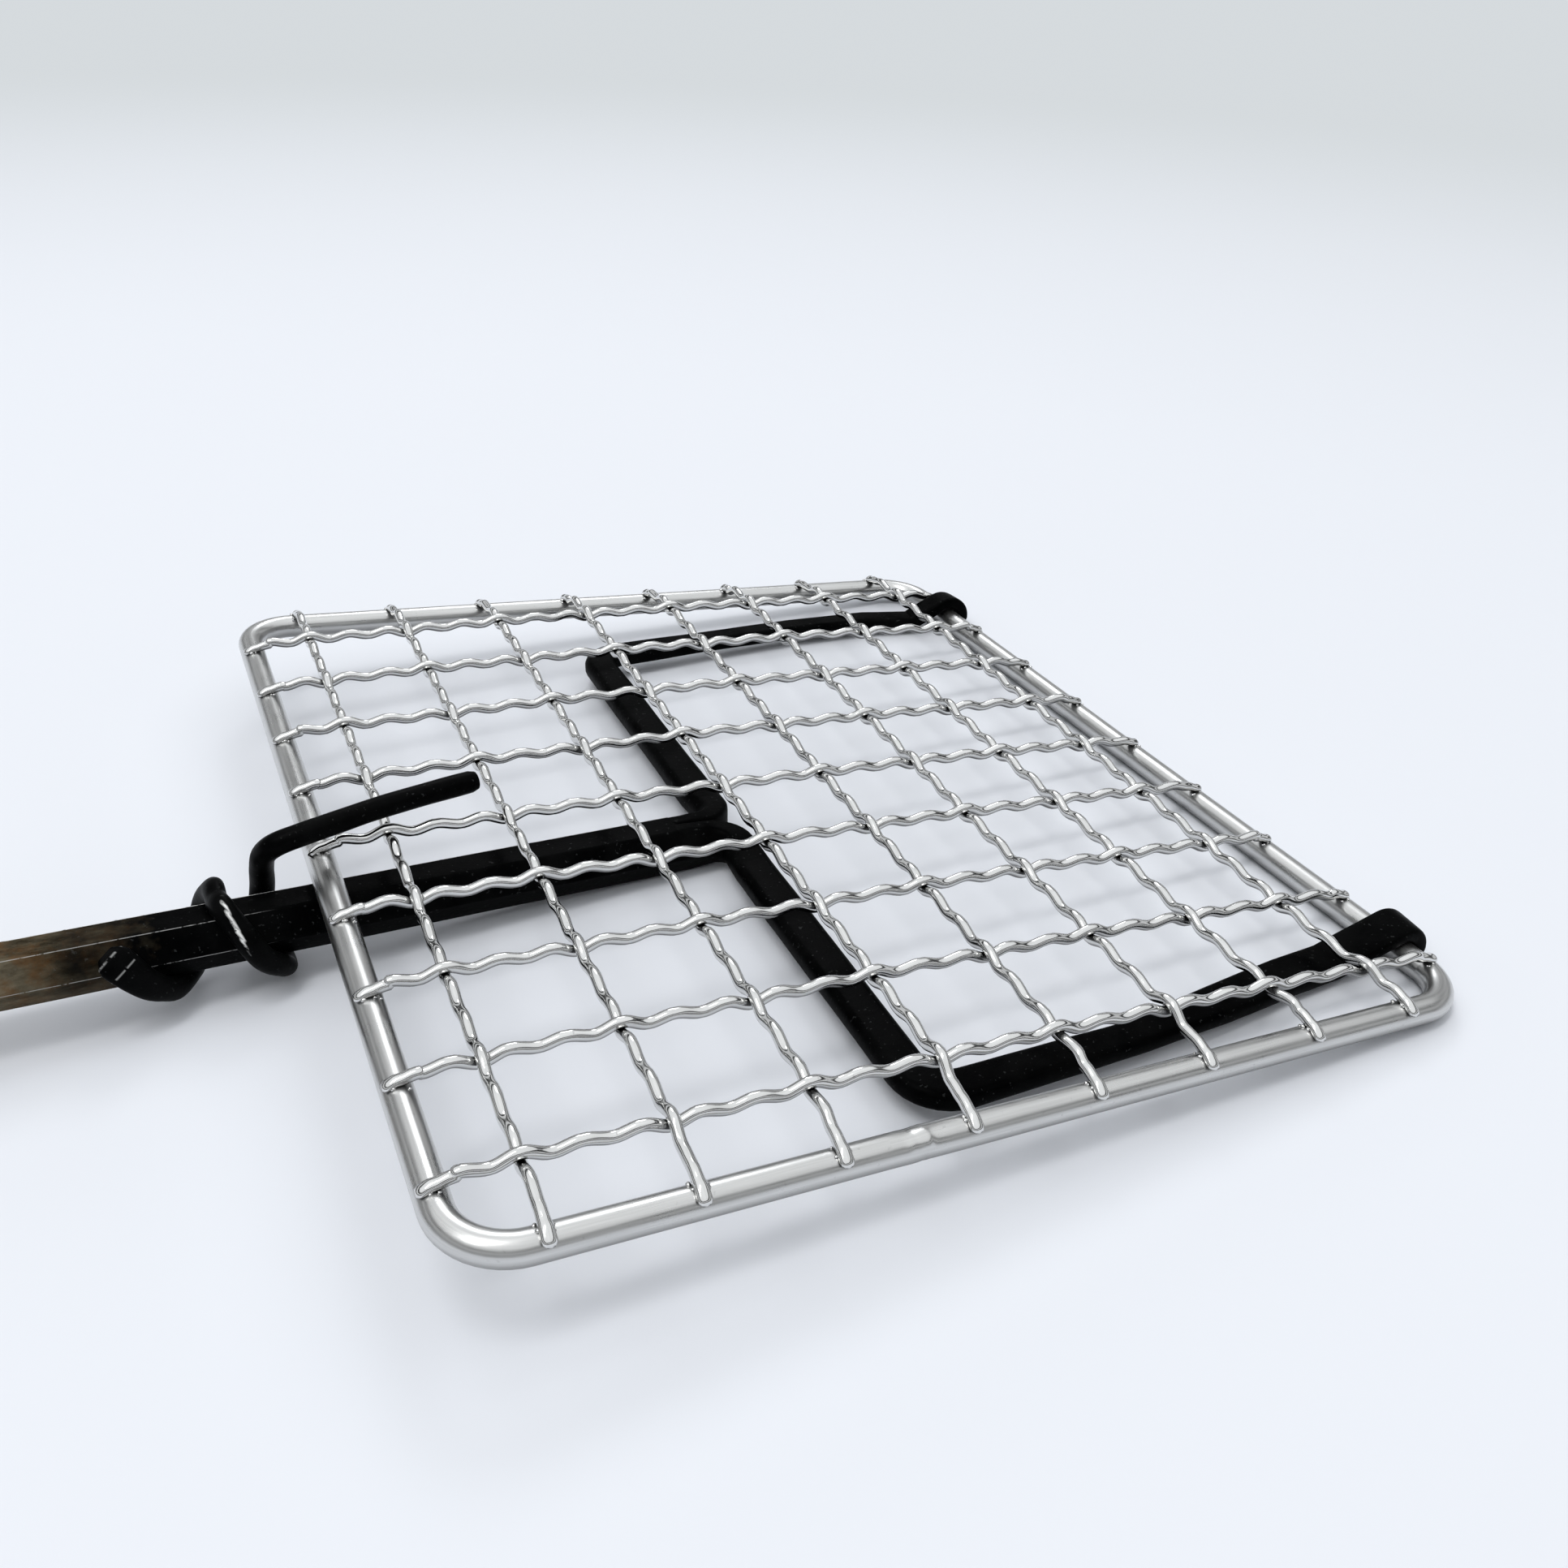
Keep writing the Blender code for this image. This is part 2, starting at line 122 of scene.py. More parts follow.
ROD_Z = -(ROD_R + WIRE_R + GAP)
BAR_Z = ROD_Z - ROD_R - GAP - BAR_AF / 2
CROSS_X = [(i - (CROSS_WIRES - 1) / 2) * PITCH for i in range(CROSS_WIRES)]
LONG_Y = [((LONG_WIRES - 1) / 2 - j) * PITCH for j in range(LONG_WIRES)]
NEAR_X = NEAR_LEFT[0]
FAR_X = np.interp(0, [FAR_RIGHT[1], FAR_LEFT[1]], [FAR_RIGHT[0], FAR_LEFT[0]])
MIDDLE_X = (NEAR_X + FAR_X) / 2
# (angle round the bar, place along it)
COIL_STATIONS = [(146, -37.0), (241, -27.0), (285, -23.2), (400, -18.8), (470, -18.2),
                 (540, -13.7), (601, -8.9), (706, -10.4)]
# (along the bar, to its left, up), from the coil's top to the finger's tip
FINGER_ROUTE = [(-9.6, 8.3, 3.0), (-9.7, 6.4, 8.0), (-9.4, 4.4, 11.8), (-7.6, 2.4, 14.6),
                (-3.6, 1.9, 16.0), (3.5, 3.1, 16.7), (11.0, 4.8, 17.1), (20.6, 6.5, 17.4),
                (30.3, 8.2, 17.5)]
# how far the right end of each cross wire leans over towards the hooks
LEANING_ENDS = (0, 0, 0, 0, 1.2, 1.4, 2.6, 2.6)
LEAN_FROM, LEAN_FULL = -80.0, -100.0
# (x, y, half width) along each prong, from its bend to the hook
LEFT_PRONG = [(20.0, 87.2, 3.1), (45.0, 87.6, 3.3), (67.0, 86.2, 3.4)]
RIGHT_PRONG = [(31.0, -84.2, 3.1), (52.0, -81.9, 3.9), (68.0, -79.9, 4.0)]


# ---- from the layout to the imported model's frame ------------------------------------------
def bar_axis():
    """The bar's own axes: x along it from below the near rod, y to the left, z up."""
    yaw = Matrix.Rotation(math.radians(BAR_YAW), 4, "Z")
    rise = Matrix.Rotation(-math.radians(BAR_RISE), 4, "Y")
    return Matrix.Translation((NEAR_X, BAR_Y, BAR_Z)) @ yaw @ rise


def layout():
    """The grill stands nose down: its two joints say how far and where."""
    joints = {j["name"]: j for j in frame["joints"]}
    world = joints["keeper_slide"]["axis"]
    drawn = bar_axis().to_3x3() @ Vector((1, 0, 0))
    tilt = math.atan2(drawn.z, drawn.x) - math.atan2(world[2], world[0])
    turn = Matrix.Rotation(tilt, 4, "Y")
    hinge = Vector(joints["grate_rock"]["pos_m"])
    place = hinge - turn @ (Vector((FAR_X, 0, ROD_Z)) * 0.001)
    return Matrix.Translation(place) @ turn @ Matrix.Scale(0.001, 4)


LAYOUT = layout()


# ---- shape helpers ------------------------------------------------------------------------
def ramp(value, low, high):
    """0 up to low, 1 from high on, straight between."""
    return max(0.0, min(1.0, (value - low) / (high - low)))


def ease(t):
    """From 0 to 1 with a soft start and a soft end."""
    return t * t * (3 - 2 * t)


def catmull(points, steps):
    """A smooth curve through the points."""
    pts = [Vector(p) for p in points]
    pts = [pts[0] * 2 - pts[1]] + pts + [pts[-1] * 2 - pts[-2]]
    curve = []
    for a, b, c, d in zip(pts, pts[1:], pts[2:], pts[3:]):
        for k in range(steps):
            t = k / steps
            curve.append(0.5 * (2 * b + (c - a) * t + (2 * a - 5 * b + 4 * c - d) * t * t
                                + (3 * b - a - 3 * c + d) * t ** 3))
    return curve + [pts[-2]]


def rounded_route(corners, steps=8):
    """Straight runs joined by arcs: corners are (point, bend radius), 0 for a plain vertex."""
    points, middles = [corners[0][0]], [0]
    for (a, _), (p, radius), (b, _) in zip(corners, corners[1:], corners[2:]):
        u, v = (a - p).normalized(), (b - p).normalized()
        half = u.angle(v) / 2
        if radius == 0:
            points.append(p)
            middles.append(len(points) - 1)
            continue
        centre = p + (u + v).normalized() * (radius / math.sin(half))
        start = p + u * (radius / math.tan(half)) - centre
        axis = u.cross(v).normalized()
        sweep = -(math.pi - 2 * half)
        for k in range(steps + 1):
            points.append(centre + Matrix.Rotation(sweep * k / steps, 3, axis) @ start)
        middles.append(len(points) - 1 - steps // 2)
    points.append(corners[-1][0])
    middles.append(len(points) - 1)
    return points, middles


def lengths_of(points):
    """How far along the route each point is."""
    return np.cumsum([0] + [(b - a).length for a, b in zip(points, points[1:])])


def refine(points, keyed, spacing):
    """Points about `spacing` apart along the same route, with the keyed sizes interpolated."""
    lengths = lengths_of(points)
    count = max(2, int(round(lengths[-1] / spacing)) + 1)
    marks = np.union1d(np.linspace(0, lengths[-1], count), lengths)
    marks = marks[np.concatenate([[True], np.diff(marks) > 0.08])]
    xyz = [np.interp(marks, lengths, [p[k] for p in points]) for k in range(3)]
    sizes = np.array([np.interp(marks, lengths, column) for column in zip(*keyed)]).T
    return [Vector(p) for p in zip(*xyz)], sizes


def frames_along(points, normal):
    """(tangent, side, up) at each point; up starts as the normal and turns as little as can be."""
    frames = []
    for k, p in enumerate(points):
        ahead = points[min(k + 1, len(points) - 1)] - p
        behind = p - points[max(k - 1, 0)]
        tangent = (ahead.normalized() + behind.normalized()).normalized()
        normal = (normal - tangent * normal.dot(tangent)).normalized()
        frames.append((tangent, tangent.cross(normal), normal))
    return frames


def soften(outline, cut, steps=4):
    """The outline with each corner rounded, cutting back at most `cut` along its sides."""
    smooth = []
    for k, b in enumerate(outline):
        a, c = Vector(outline[k - 1]), Vector(outline[(k + 1) % len(outline)])
        b = Vector(b)
        p = b + (a - b) * min(cut / max((a - b).length, 1e-6), 0.45)
        q = b + (c - b) * min(cut / max((c - b).length, 1e-6), 0.45)
        for i in range(steps):
            t = i / (steps - 1)
            smooth.append(tuple(p * (1 - t) ** 2 + b * 2 * t * (1 - t) + q * t * t))
    return smooth


def circle(radius, count):
    """Points round it as (side, up)."""
    return [(radius * math.cos(a), radius * math.sin(a))
            for a in np.linspace(0, 2 * math.pi, count, endpoint=False)]


def skin(bm, points, outlines, normal, closed=False, wear_and_sheen=None):
    """Adds a tube of outlines along the points. Its uv is the run along and round it in metres,
    and wear(ring, corner) says how far the steel is worn through there, and on the keeper's coil
    how strong its painted highlight is."""
    uv = bm.loops.layers.uv.verify()
    mask = bm.verts.layers.float.get("wear_and_sheen") or bm.verts.layers.float.new("wear_and_sheen")
    rings = []
    for i, (p, outline, (_, side, up)) in enumerate(zip(points, outlines,
                                                        frames_along(points, normal))):
        ring = []
        for k, (s, u) in enumerate(outline):
            vert = bm.verts.new(LAYOUT @ (p + side * s + up * u))
            vert[mask] = wear_and_sheen(i, k) if wear_and_sheen else 0.0
            ring.append(vert)
        rings.append(ring)
    run = list(lengths_of(points))
    if closed:
        run.append(run[-1] + (points[0] - points[-1]).length)
        rings.append(rings[0])
    first = [Vector(corner) for corner in outlines[0]]
    count = len(first)
    girth = sum((first[k] - first[k - 1]).length for k in range(count))
    for i, (ring, following) in enumerate(zip(rings, rings[1:])):
        for k in range(count):
            n = (k + 1) % count
            face = bm.faces.new((ring[k], ring[n], following[n], following[k]))
            corners = ((i, k), (i, k + 1), (i + 1, k + 1), (i + 1, k))
            for loop, (r, c) in zip(face.loops, corners):
                loop[uv].uv = (run[r] * 0.001, c / count * girth * 0.001)
    if not closed:
        bm.faces.new(rings[0])
        bm.faces.new(rings[-1])


def show(name, data):
    """A new object in the scene for the data."""
    obj = bpy.data.objects.new(name, data)
    bpy.context.scene.collection.objects.link(obj)
    return obj


def piece(name, bm, mat, body, nodes, angle=40):
    """Makes the object, hangs it on its body and lets it stand for the CAD nodes. Edges over
    the angle stay sharp."""
    bmesh.ops.recalc_face_normals(bm, faces=bm.faces)
    mesh = bpy.data.meshes.new(name)
    bm.to_mesh(mesh)
    bm.free()
    mesh.shade_smooth()
    mesh.set_sharp_from_angle(angle=math.radians(angle))
    mesh.materials.append(mat)
    obj = show(name, mesh)
    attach(obj, body)
    if nodes:
        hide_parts(*nodes)


def wobble(x, seed, scale=0.05):
    """Smooth hand-made unevenness between -1 and 1 along a length."""
    return noise.noise(Vector((x * scale, seed * 7.3, 1.7)))


# ---- materials ----------------------------------------------------------------------------
OILED_BLACK = (0.0006, 0.0007, 0.0008, 1)
DRY_BLACK = (0.0032, 0.0034, 0.0034, 1)
DARK_SCALE = (0.026, 0.020, 0.011, 1)
LIGHT_SCALE = (0.150, 0.127, 0.086, 1)
RUST = (0.110, 0.052, 0.018, 1)
WORN_SCALE = (0.230, 0.205, 0.160, 1)
# bare steel where worn, and the painted highlight on the keeper's coil
BARE_STEEL_AND_HIGHLIGHT = (0.90, 0.90, 0.88, 1)
SPECK = (0.20, 0.21, 0.21, 1)
# x in metres: the bar is black from the first to the hooks, and brown from the second back
BLACK_FROM, BROWN_FROM = 0.029, 0.009


class Paint:
    """A Principled material and short calls for the nodes that drive it."""

    def __init__(self, name, **constants):
        self.mat = bpy.data.materials.new(name)
        self.mat.use_nodes = True
        self.tree = self.mat.node_tree
        self.shader = self.tree.nodes["Principled BSDF"]
        for label, value in constants.items():
            self.shader.inputs[label.replace("_", " ")].default_value = value
        coords = self.tree.nodes.new("ShaderNodeTexCoord")
        self.place, self.uv = coords.outputs["Object"], coords.outputs["UV"]

    def node(self, kind, **inputs):
        node = self.tree.nodes.new("ShaderNode" + kind)
        for label, value in inputs.items():
            by_index = label[0] == "i" and label[1:].isdigit()
            socket = node.inputs[int(label[1:]) if by_index else label.replace("_", " ")]
            if isinstance(value, bpy.types.NodeSocket):
                self.tree.links.new(value, socket)
            else:
                socket.default_value = value
        return node

    def stretch(self, source, scale):
        return self.node("Mapping", Vector=source, Scale=scale).outputs["Vector"]

    def grain(self, source, scale, detail=3.0, rough=0.5):
        return self.node("TexNoise", Vector=source, Scale=scale, Detail=detail,
                         Roughness=rough).outputs["Fac"]

    def math(self, kind, a, b):
        node = self.node("Math", i0=a, i1=b)
        node.operation = kind
        return node.outputs[0]

    def span(self, value, low, high, to_low=0.0, to_high=1.0):
        return self.node("MapRange", Value=value, From_Min=low, From_Max=high, To_Min=to_low,
                         To_Max=to_high).outputs[0]

    def mix(self, fac, a, b):
        node = self.tree.nodes.new("ShaderNodeMix")
        node.data_type = "RGBA"
        for index, value in ((0, fac), (6, a), (7, b)):
            if isinstance(value, bpy.types.NodeSocket):
                self.tree.links.new(value, node.inputs[index])
            else:
                node.inputs[index].default_value = value
        return node.outputs[2]

    def bump(self, height, distance, strength):
        return self.node("Bump", Strength=strength, Distance=distance,
                         Height=height).outputs["Normal"]

    def drive(self, label, value):
        self.tree.links.new(value, self.shader.inputs[label])


def forged_steel(name, gloss, browned):
    """Black forge scale under oil: soft hammer facets, faint specks and worn-through steel where
    the mesh's wear says so, which on the front of the keeper's coil is a painted highlight.
    Browned steel passes into brown mill scale towards the handle."""
    p = Paint(name, Specular_IOR_Level=gloss)
    facets = p.node("TexVoronoi", Vector=p.place, Scale=210.0)
    facets.feature = "SMOOTH_F1"
    facets.inputs["Smoothness"].default_value = 0.9
    blotch = p.grain(p.place, 95.0, 5.0, 0.6)
    fine = p.grain(p.place, 900.0, 4.0, 0.6)
    specks = p.span(p.grain(p.place, 1300.0, 2.0, 0.5), 0.67, 0.72)
    base = p.mix(p.span(blotch, 0.42, 0.66), OILED_BLACK, DRY_BLACK)
    if browned:
        flakes = p.grain(p.stretch(p.place, (0.35, 1.0, 1.0)), 190.0, 6.0, 0.7)
        scale = p.mix(p.span(flakes, 0.36, 0.64), DARK_SCALE, LIGHT_SCALE)
        along = p.node("SeparateXYZ", Vector=p.place).outputs[0]
        edge = p.math("ADD", along, p.math("MULTIPLY", p.math("SUBTRACT", blotch, 0.5), 0.04))
        rust = p.span(p.grain(p.place, 260.0, 5.0, 0.7), 0.46, 0.66)
        scale = p.mix(p.math("MULTIPLY", rust, 0.55), scale, RUST)
        pale = p.math("MULTIPLY", p.span(edge, 0.010, -0.016), p.span(fine, 0.38, 0.60))
        scale = p.mix(p.math("MULTIPLY", pale, 0.4), scale, WORN_SCALE)
        base = p.mix(p.span(edge, BLACK_FROM, BROWN_FROM), base, scale)
    # the mesh's mask: bare steel where worn, and a painted highlight on the keeper's coil
    wear_and_sheen = p.node("Attribute")
    wear_and_sheen.attribute_name = "wear_and_sheen"
    bare_and_sheen = p.math("MULTIPLY", p.span(wear_and_sheen.outputs["Fac"], 0.35, 0.70), p.span(fine, 0.36, 0.46))
    base = p.mix(bare_and_sheen, base, BARE_STEEL_AND_HIGHLIGHT)
    base = p.mix(p.math("MULTIPLY", specks, 0.10), base, SPECK)
    p.drive("Base Color", base)
    p.drive("Metallic", p.math("MULTIPLY", bare_and_sheen, 0.3))
    p.drive("Roughness", p.span(blotch, 0.35, 0.7, 0.30, 0.50))
    relief = p.math("ADD", p.math("MULTIPLY", facets.outputs["Distance"], 0.5),
                    p.math("MULTIPLY", fine, 0.25))
    p.drive("Normal", p.bump(relief, 0.0004, 0.55))
    return p.mat


def drawn_steel(name, color, roughness, streak, under, chatter=False):
    """Stainless rod or wire: lengthwise drawing lines and small nicks, and painted shade on the
    underside. `under` is the z of the normal where that painted shade is darkest, the z where
    it ends, and the darkest's share of the color. Chatter is rough ticks low on the outer side,
    past the butt weld."""
    def shade(share):
        return tuple(c * share for c in color) + (1.0,)
    p = Paint(name, Metallic=1.0)
    lines = p.grain(p.stretch(p.uv, (60.0, 2600.0, 1.0)), 1.0, 3.0, 0.6)
    cloud = p.grain(p.place, 130.0, 3.0, 0.5)
    nicks = p.span(p.grain(p.stretch(p.uv, (900.0, 900.0, 1.0)), 1.0, 2.0), 0.66, 0.76)
    base = p.mix(p.span(lines, 0.35, 0.65), shade(0.88), shade(1.0))
    base = p.mix(p.math("MULTIPLY", nicks, 0.35), base, shade(0.5))
    # painted shade: the base colour darkens where the normal points down, as `under` says
    facing = p.node("SeparateXYZ", Vector=p.node("NewGeometry").outputs["Normal"]).outputs[2]
    darkest, clear, share = under
    p.drive("Base Color", p.mix(p.span(facing, darkest, clear, 1.0, 0.0), base, shade(share)))
    spread = p.math("ADD", p.span(lines, 0.3, 0.7, -streak, streak),
                    p.span(cloud, 0.35, 0.65, roughness - 0.02, roughness + 0.03))
    height = p.math("ADD", lines, p.math("MULTIPLY", nicks, -0.8))
    if chatter:
        ticks = p.grain(p.stretch(p.uv, (2400.0, 300.0, 1.0)), 1.0, 3.0, 0.7)
        run = p.node("SeparateXYZ", Vector=p.uv)
        there = p.math("MULTIPLY", p.span(run.outputs[0], 0.034, 0.044),
                       p.span(run.outputs[0], 0.114, 0.106))
        there = p.math("MULTIPLY", there, p.span(run.outputs[1], 0.0122, 0.0140))
        ticks = p.math("MULTIPLY", p.math("MULTIPLY", ticks, there), 9.0)
        height = p.math("ADD", height, ticks)
    p.drive("Roughness", spread)
    p.drive("Normal", p.bump(height, 0.000012, 0.3))
    return p.mat


FORGED = forged_steel("forged_black_steel", gloss=0.012, browned=True)
ROUND_BAR = forged_steel("wound_black_steel", gloss=0.024, browned=False)
# `under` paints shade on the undersides of the rod and of the wires
SATIN = drawn_steel("satin_stainless_rod", (0.64, 0.64, 0.63), roughness=0.29, streak=0.02,
                    under=(-0.42, 0.12, 0.42), chatter=True)
BRIGHT = drawn_steel("bright_stainless_wire", (0.74, 0.74, 0.73), roughness=0.13, streak=0.02,
                     under=(-0.50, -0.05, 0.08))


# ---- the forged fork ----------------------------------------------------------------------
def hexagon(across_flats):
    """Its corners, the first one on the right and the rest round by way of the top."""
    radius = across_flats / math.sqrt(3)
    return [(radius * math.cos(math.radians(a)), radius * math.sin(math.radians(a)))
            for a in range(0, 360, 60)]


# how bare each edge of the bar is worn, round from its right one; the upper left one is 2
EDGE_WEAR = (0.5, 0.5, 1.0, 0.55, 0.5, 0.5)


def add_bar(bm):
    """The hexagonal bar from its plain end to the split, a little uneven from the forge."""
    axis = bar_axis()
    stations = [BAR_BACK, BAR_BACK + 0.4, BAR_BACK + BAR_CHAMFER]
    stations += list(np.arange(BAR_BACK + 6, BAR_SPLIT - 2, 4.0))
    stations += [BAR_SPLIT - 1, BAR_SPLIT + 0.6]
    points, outlines = [], []
    for s in stations:
        back = max(0.0, 1 - (s - BAR_BACK) / BAR_CHAMFER)
        size = BAR_AF - 2 * BAR_CHAMFER * back ** 1.6 + 0.07 * wobble(s, 3)
        if s > BAR_SPLIT:
            size -= 1.0
        points.append(axis @ Vector((s, 0.06 * wobble(s, 5, 0.03), 0.06 * wobble(s, 6, 0.03))))
        outlines.append(soften(hexagon(size), BAR_EDGE))

    def wear_and_sheen(i, k):
        inner = {1: 1.0, 2: 0.5}.get(k % 4, 0.0)
        return EDGE_WEAR[k // 4] * inner * min(1.0, max(0.7, (5 - stations[i]) / 20))
    skin(bm, points, outlines, axis.to_3x3() @ Vector((0, 0, 1)), wear_and_sheen=wear_and_sheen)


def tine_outline(half_w, half_t, inner, outer_w, outer_t, left):
    """Half of the hexagon where the bar splits, and a bevelled flat further out."""
    right_side = [(-half_w, -half_t + inner), (-half_w, half_t - inner),
                  (-half_w + inner, half_t), (half_w - outer_w, half_t),
                  (half_w, half_t - outer_t), (half_w, -half_t + outer_t),
                  (half_w - outer_w, -half_t), (-half_w + inner, -half_t)]
    return [(-s, u) for s, u in right_side] if left else right_side


def add_tine(bm, left):
    """One half of the split bar: out to the side, forward under the grate, and up and over the
    far rod as a hook."""
    side = 1 if left else -1
    prong = LEFT_PRONG if left else RIGHT_PRONG
    bend_y = LEFT_PRONG_Y if left else RIGHT_PRONG_Y
    hook_y = LEFT_HOOK_Y if left else RIGHT_HOOK_Y
    hook_half_w = LEFT_HOOK_HALF_W if left else RIGHT_HOOK_HALF_W
    root = BAR_AF / math.sqrt(3) / 2
    offset = side * root
    axis = bar_axis()
    start = axis @ Vector((BAR_SPLIT - 6, offset, 0))
    straight = axis @ Vector((BAR_SPLIT + GAP + 1.5, offset, 0))
    corner = axis @ Vector((BAR_SPLIT + 10, offset, 0))
    corner.x, corner.z = ARM_X, ARM_Z

    hook_r = ROD_R + GAP + HOOK_HALF_T
    # the last straight run touches the hook's arc round the far rod
    rod = Vector((far_x(hook_y), 0, ROD_Z))
    ahead = rod - Vector((RISE_X, 0, RISE_Z))
    slope = math.atan2(ahead.z, ahead.x) + math.asin(hook_r / ahead.length)
    touch = rod + hook_r * Vector((-math.sin(slope), 0, math.cos(slope)))
    drop = (RISE_Z - ARM_Z) / (RISE_X - ARM_X)

    corners = [(start, 0), (straight, 0), (corner, ROOT_BEND_R),
               (Vector((ARM_X, corner.y + side * ARM_ROOT, ARM_Z)), 0),
               (Vector((ARM_X, bend_y, ARM_Z)), ARM_BEND_R)]
    corners += [(Vector((x, y, ARM_Z + (x - ARM_X) * drop)), 0) for x, y, _ in prong]
    rise_y = hook_y + (prong[-1][1] - hook_y) * 0.1
    corners.append((Vector((RISE_X, rise_y, RISE_Z)), 0))
    corners.append((Vector((touch.x, hook_y, touch.z)), 0))
    points, middles = rounded_route(corners)
    for angle in np.linspace(math.pi / 2 + slope, math.radians(HOOK_END), 17)[1:]:
        points.append(Vector((rod.x + hook_r * math.cos(angle), hook_y,
                              rod.z + hook_r * math.sin(angle))))

    # (half width, half thickness, inner bevel, outer bevel across, outer bevel up and down)
    split = (root - 0.02, BAR_AF / 2 - 0.02, 0.4, BAR_AF / math.sqrt(12), BAR_AF / 2 - 0.3)
    sizes = [split, split, (root, 3.9, 0.6, 1.6, 2.4), (3.9, 2.3, 1.0, 1.0, 1.0),
             (3.8, 2.15, 1.0, 1.0, 1.0)]
    sizes += [(half_w, 1.85, 0.8, 0.8, 0.8) for _, _, half_w in prong]
    sizes += [(prong[-1][2], 1.75, 0.7, 0.7, 0.7), (hook_half_w, HOOK_HALF_T, 0.6, 0.6, 0.6)]
    lengths = lengths_of(points)
    marks = [lengths[m] for m in middles]
    keyed = np.array([np.interp(lengths, marks, column) for column in zip(*sizes)]).T
    points, keyed = refine(points, keyed, 2.0)
    run = lengths_of(points)
    outlines = []
    for size, s in zip(keyed, run):
        rough = ramp(s, 14, 24) * ramp(run[-1] - 16 - s, 0, 8)
        half_w = size[0] + 0.16 * rough * wobble(s, 11 + side, 0.09)
        half_t = size[1] + 0.10 * rough * wobble(s, 21 + side, 0.09)
        tip = max(0.0, 1 - (run[-1] - s) / 1.2)
        half_w -= 0.5 * tip ** 2
        half_t -= 0.35 * tip ** 2
        outlines.append(soften(tine_outline(half_w, half_t, *size[2:], left), 0.8))
    skin(bm, points, outlines, axis.to_3x3() @ Vector((0, 0, 1)))


def fork():
    """Bar and tines as one forging, with the split where they part closed up."""
    bm = bmesh.new()
    add_bar(bm)
    add_tine(bm, True)
    add_tine(bm, False)
    piece("fork_forging", bm, FORGED, "fork", ("handle_bar", "left_tine", "right_tine"))


# ---- the keeper ---------------------------------------------------------------------------
def hammered(angle):
    """1 where the keeper was knocked flat over and under the bar, falling to 0 beside it."""
    return max(math.exp(-((angle - middle) / 45) ** 2) for middle in KNOCKED)


# degrees round the bar: where the coil's painted highlight fades in, and where it fades out
HIGHLIGHT_IN, HIGHLIGHT_OUT = (455, 475), (640, 600)
TAIL_NICKS = (1, 4)           # rings of points, counted from the tail's end


def keeper():
    """One round rod: a flat tail, one and a half turns round the bar, and the finger."""
    axis = bar_axis()
    angles = np.arange(COIL_STATIONS[0][0], COIL_STATIONS[-1][0] + 1, COIL_STEP)
    along = catmull([(a, s, 0) for a, s in COIL_STATIONS], 24)
    station = np.interp(angles, [p.x for p in along], [p.y for p in along])
    coil = []
    for angle, s in zip(angles, station):
        closing = min(1.0, (angle - angles[0]) / 110)
        radius = TAIL_R + (COIL_R - TAIL_R) * closing ** 0.35
        turn = math.radians(angle)
        radius -= COIL_HUG * closing * (math.sin(turn) * math.sin(3 * turn)) ** 2
        radius -= KNOCKED_IN * hammered(angle)
        coil.append(Vector((s, radius * math.cos(turn), radius * math.sin(turn))))
    finger = catmull([coil[-1]] + FINGER_ROUTE, 8)[1:]
    points = coil + finger
    run = lengths_of(points)
    riser = run[len(coil)]
    outlines = []
    for i, s in enumerate(run):
        flat = max(0.0, 1 - s / TAIL_FLAT)
        knocked = hammered(angles[i]) if i < len(angles) else 0.0
        taper = ramp(2 * (s - riser), 0, run[-1] - riser)
        radius = KEEPER_R + (FINGER_R - KEEPER_R) * taper + 0.05 * wobble(s, 31, 0.2)
        tip = max(0.0, 1 - (run[-1] - s) / 0.8)
        radius -= 0.35 * tip ** 2
        half_w = radius * (1 + 0.06 * knocked) + (TAIL_HALF[0] - radius) * flat
        half_t = radius * (1 - 0.20 * knocked) + (TAIL_HALF[1] - radius) * flat
        half_w *= math.sqrt(1 - 0.72 * max(0.0, 1 - s / 2.4) ** 2)
        square = 1 - 0.55 * flat
        outlines.append([(half_w * math.copysign(abs(c) ** square, c),
                          half_t * math.copysign(abs(e) ** square, e))
                         for c, e in circle(1.0, 32)])
    bm = bmesh.new()
    world = [axis @ p for p in points]
    radial = axis.to_3x3() @ Vector((0, coil[0].y, coil[0].z))
    frames = frames_along(world, radial)

    def wear_and_sheen(i, k):
        """A painted highlight down the front of the second turn, and nicks across the tail."""
        s, u = outlines[i][k]
        turn = COIL_STATIONS[0][0] + COIL_STEP * i
        if i in TAIL_NICKS and u > 0:
            return 0.46 * ramp(noise.noise(Vector((i * 2.3, k * 0.25, 8.2))), -0.15, 0.05)
        if not HIGHLIGHT_IN[0] < turn < HIGHLIGHT_OUT[0]:
            return 0.0
        # painted highlight: bright where the surface faces the lit direction below
        lean = math.radians(-4 - 54 * ramp(turn, 480, 620))
        around = math.radians(turn)
        lit = axis.to_3x3() @ Vector((math.sin(lean), math.cos(lean) * math.cos(around),
                                      math.cos(lean) * math.sin(around)))
        off = math.degrees((frames[i][1] * s + frames[i][2] * u).angle(lit))
        wide = 23 - 9 * ramp(turn, 500, 550)
        patchy = ramp(noise.noise(Vector((run[i] * 0.9, k * 0.5, 3.1))), -0.35, 0.05)
        fading = ramp(turn, *HIGHLIGHT_IN) * ramp(turn, *HIGHLIGHT_OUT)
        return fading * ramp(off, wide, 0) * (0.35 + 0.65 * patchy)
    skin(bm, world, outlines, radial, wear_and_sheen=wear_and_sheen)
    piece("keeper_rod", bm, ROUND_BAR, "keeper", ("keeper",))


